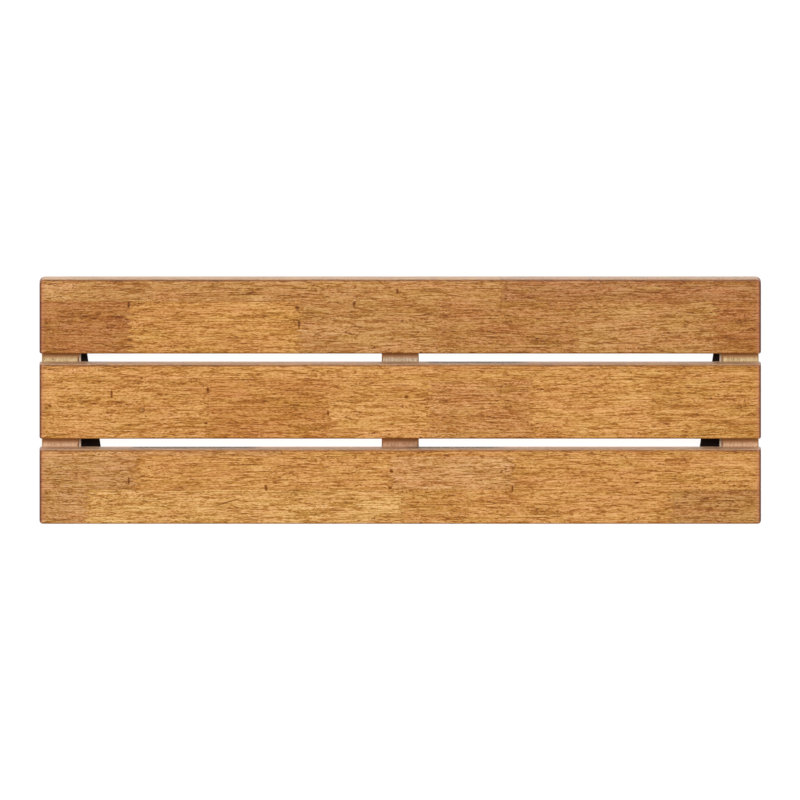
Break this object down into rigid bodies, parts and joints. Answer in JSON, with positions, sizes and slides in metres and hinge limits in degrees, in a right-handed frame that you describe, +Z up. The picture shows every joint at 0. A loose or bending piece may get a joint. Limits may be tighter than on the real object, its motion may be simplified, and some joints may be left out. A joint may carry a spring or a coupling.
{
  "type": "bath mat",
  "caption": "Low wooden duckboard bath mat: wide slats with drain gaps, screwed to cross battens that stand on black steel rails with rubber grips.",
  "frame": {"origin": "under the middle of the deck, at floor level", "axes": "+X along the slats, +Y towards the back slat, +Z up"},
  "size_m": [0.72, 0.249, 0.0405],
  "materials": {
    "slat_wood": "oiled",
    "batten_wood": "sawn and sanded",
    "black_steel": "satin black powder coat",
    "black_rubber": "matt",
    "screw_steel": "stainless"
  },
  "bodies": {
    "root": {"slat_back": "slat_wood", "slat_middle": "slat_wood", "slat_front": "slat_wood", "batten_left": "batten_wood", "batten_centre": "batten_wood", "batten_right": "batten_wood", "foot_rail_left": "black_steel", "foot_rail_right": "black_steel", "grip_strip_left": "black_rubber", "grip_strip_right": "black_rubber", "centre_pad_front": "black_rubber", "centre_pad_middle": "black_rubber", "centre_pad_back": "black_rubber", "slat_screws_left": "screw_steel", "slat_screws_centre": "screw_steel", "slat_screws_right": "screw_steel", "rail_screws_left": "screw_steel", "rail_screws_right": "screw_steel", "pad_screws": "screw_steel", "pad_washers": "screw_steel"}
  },
  "joints": []
}
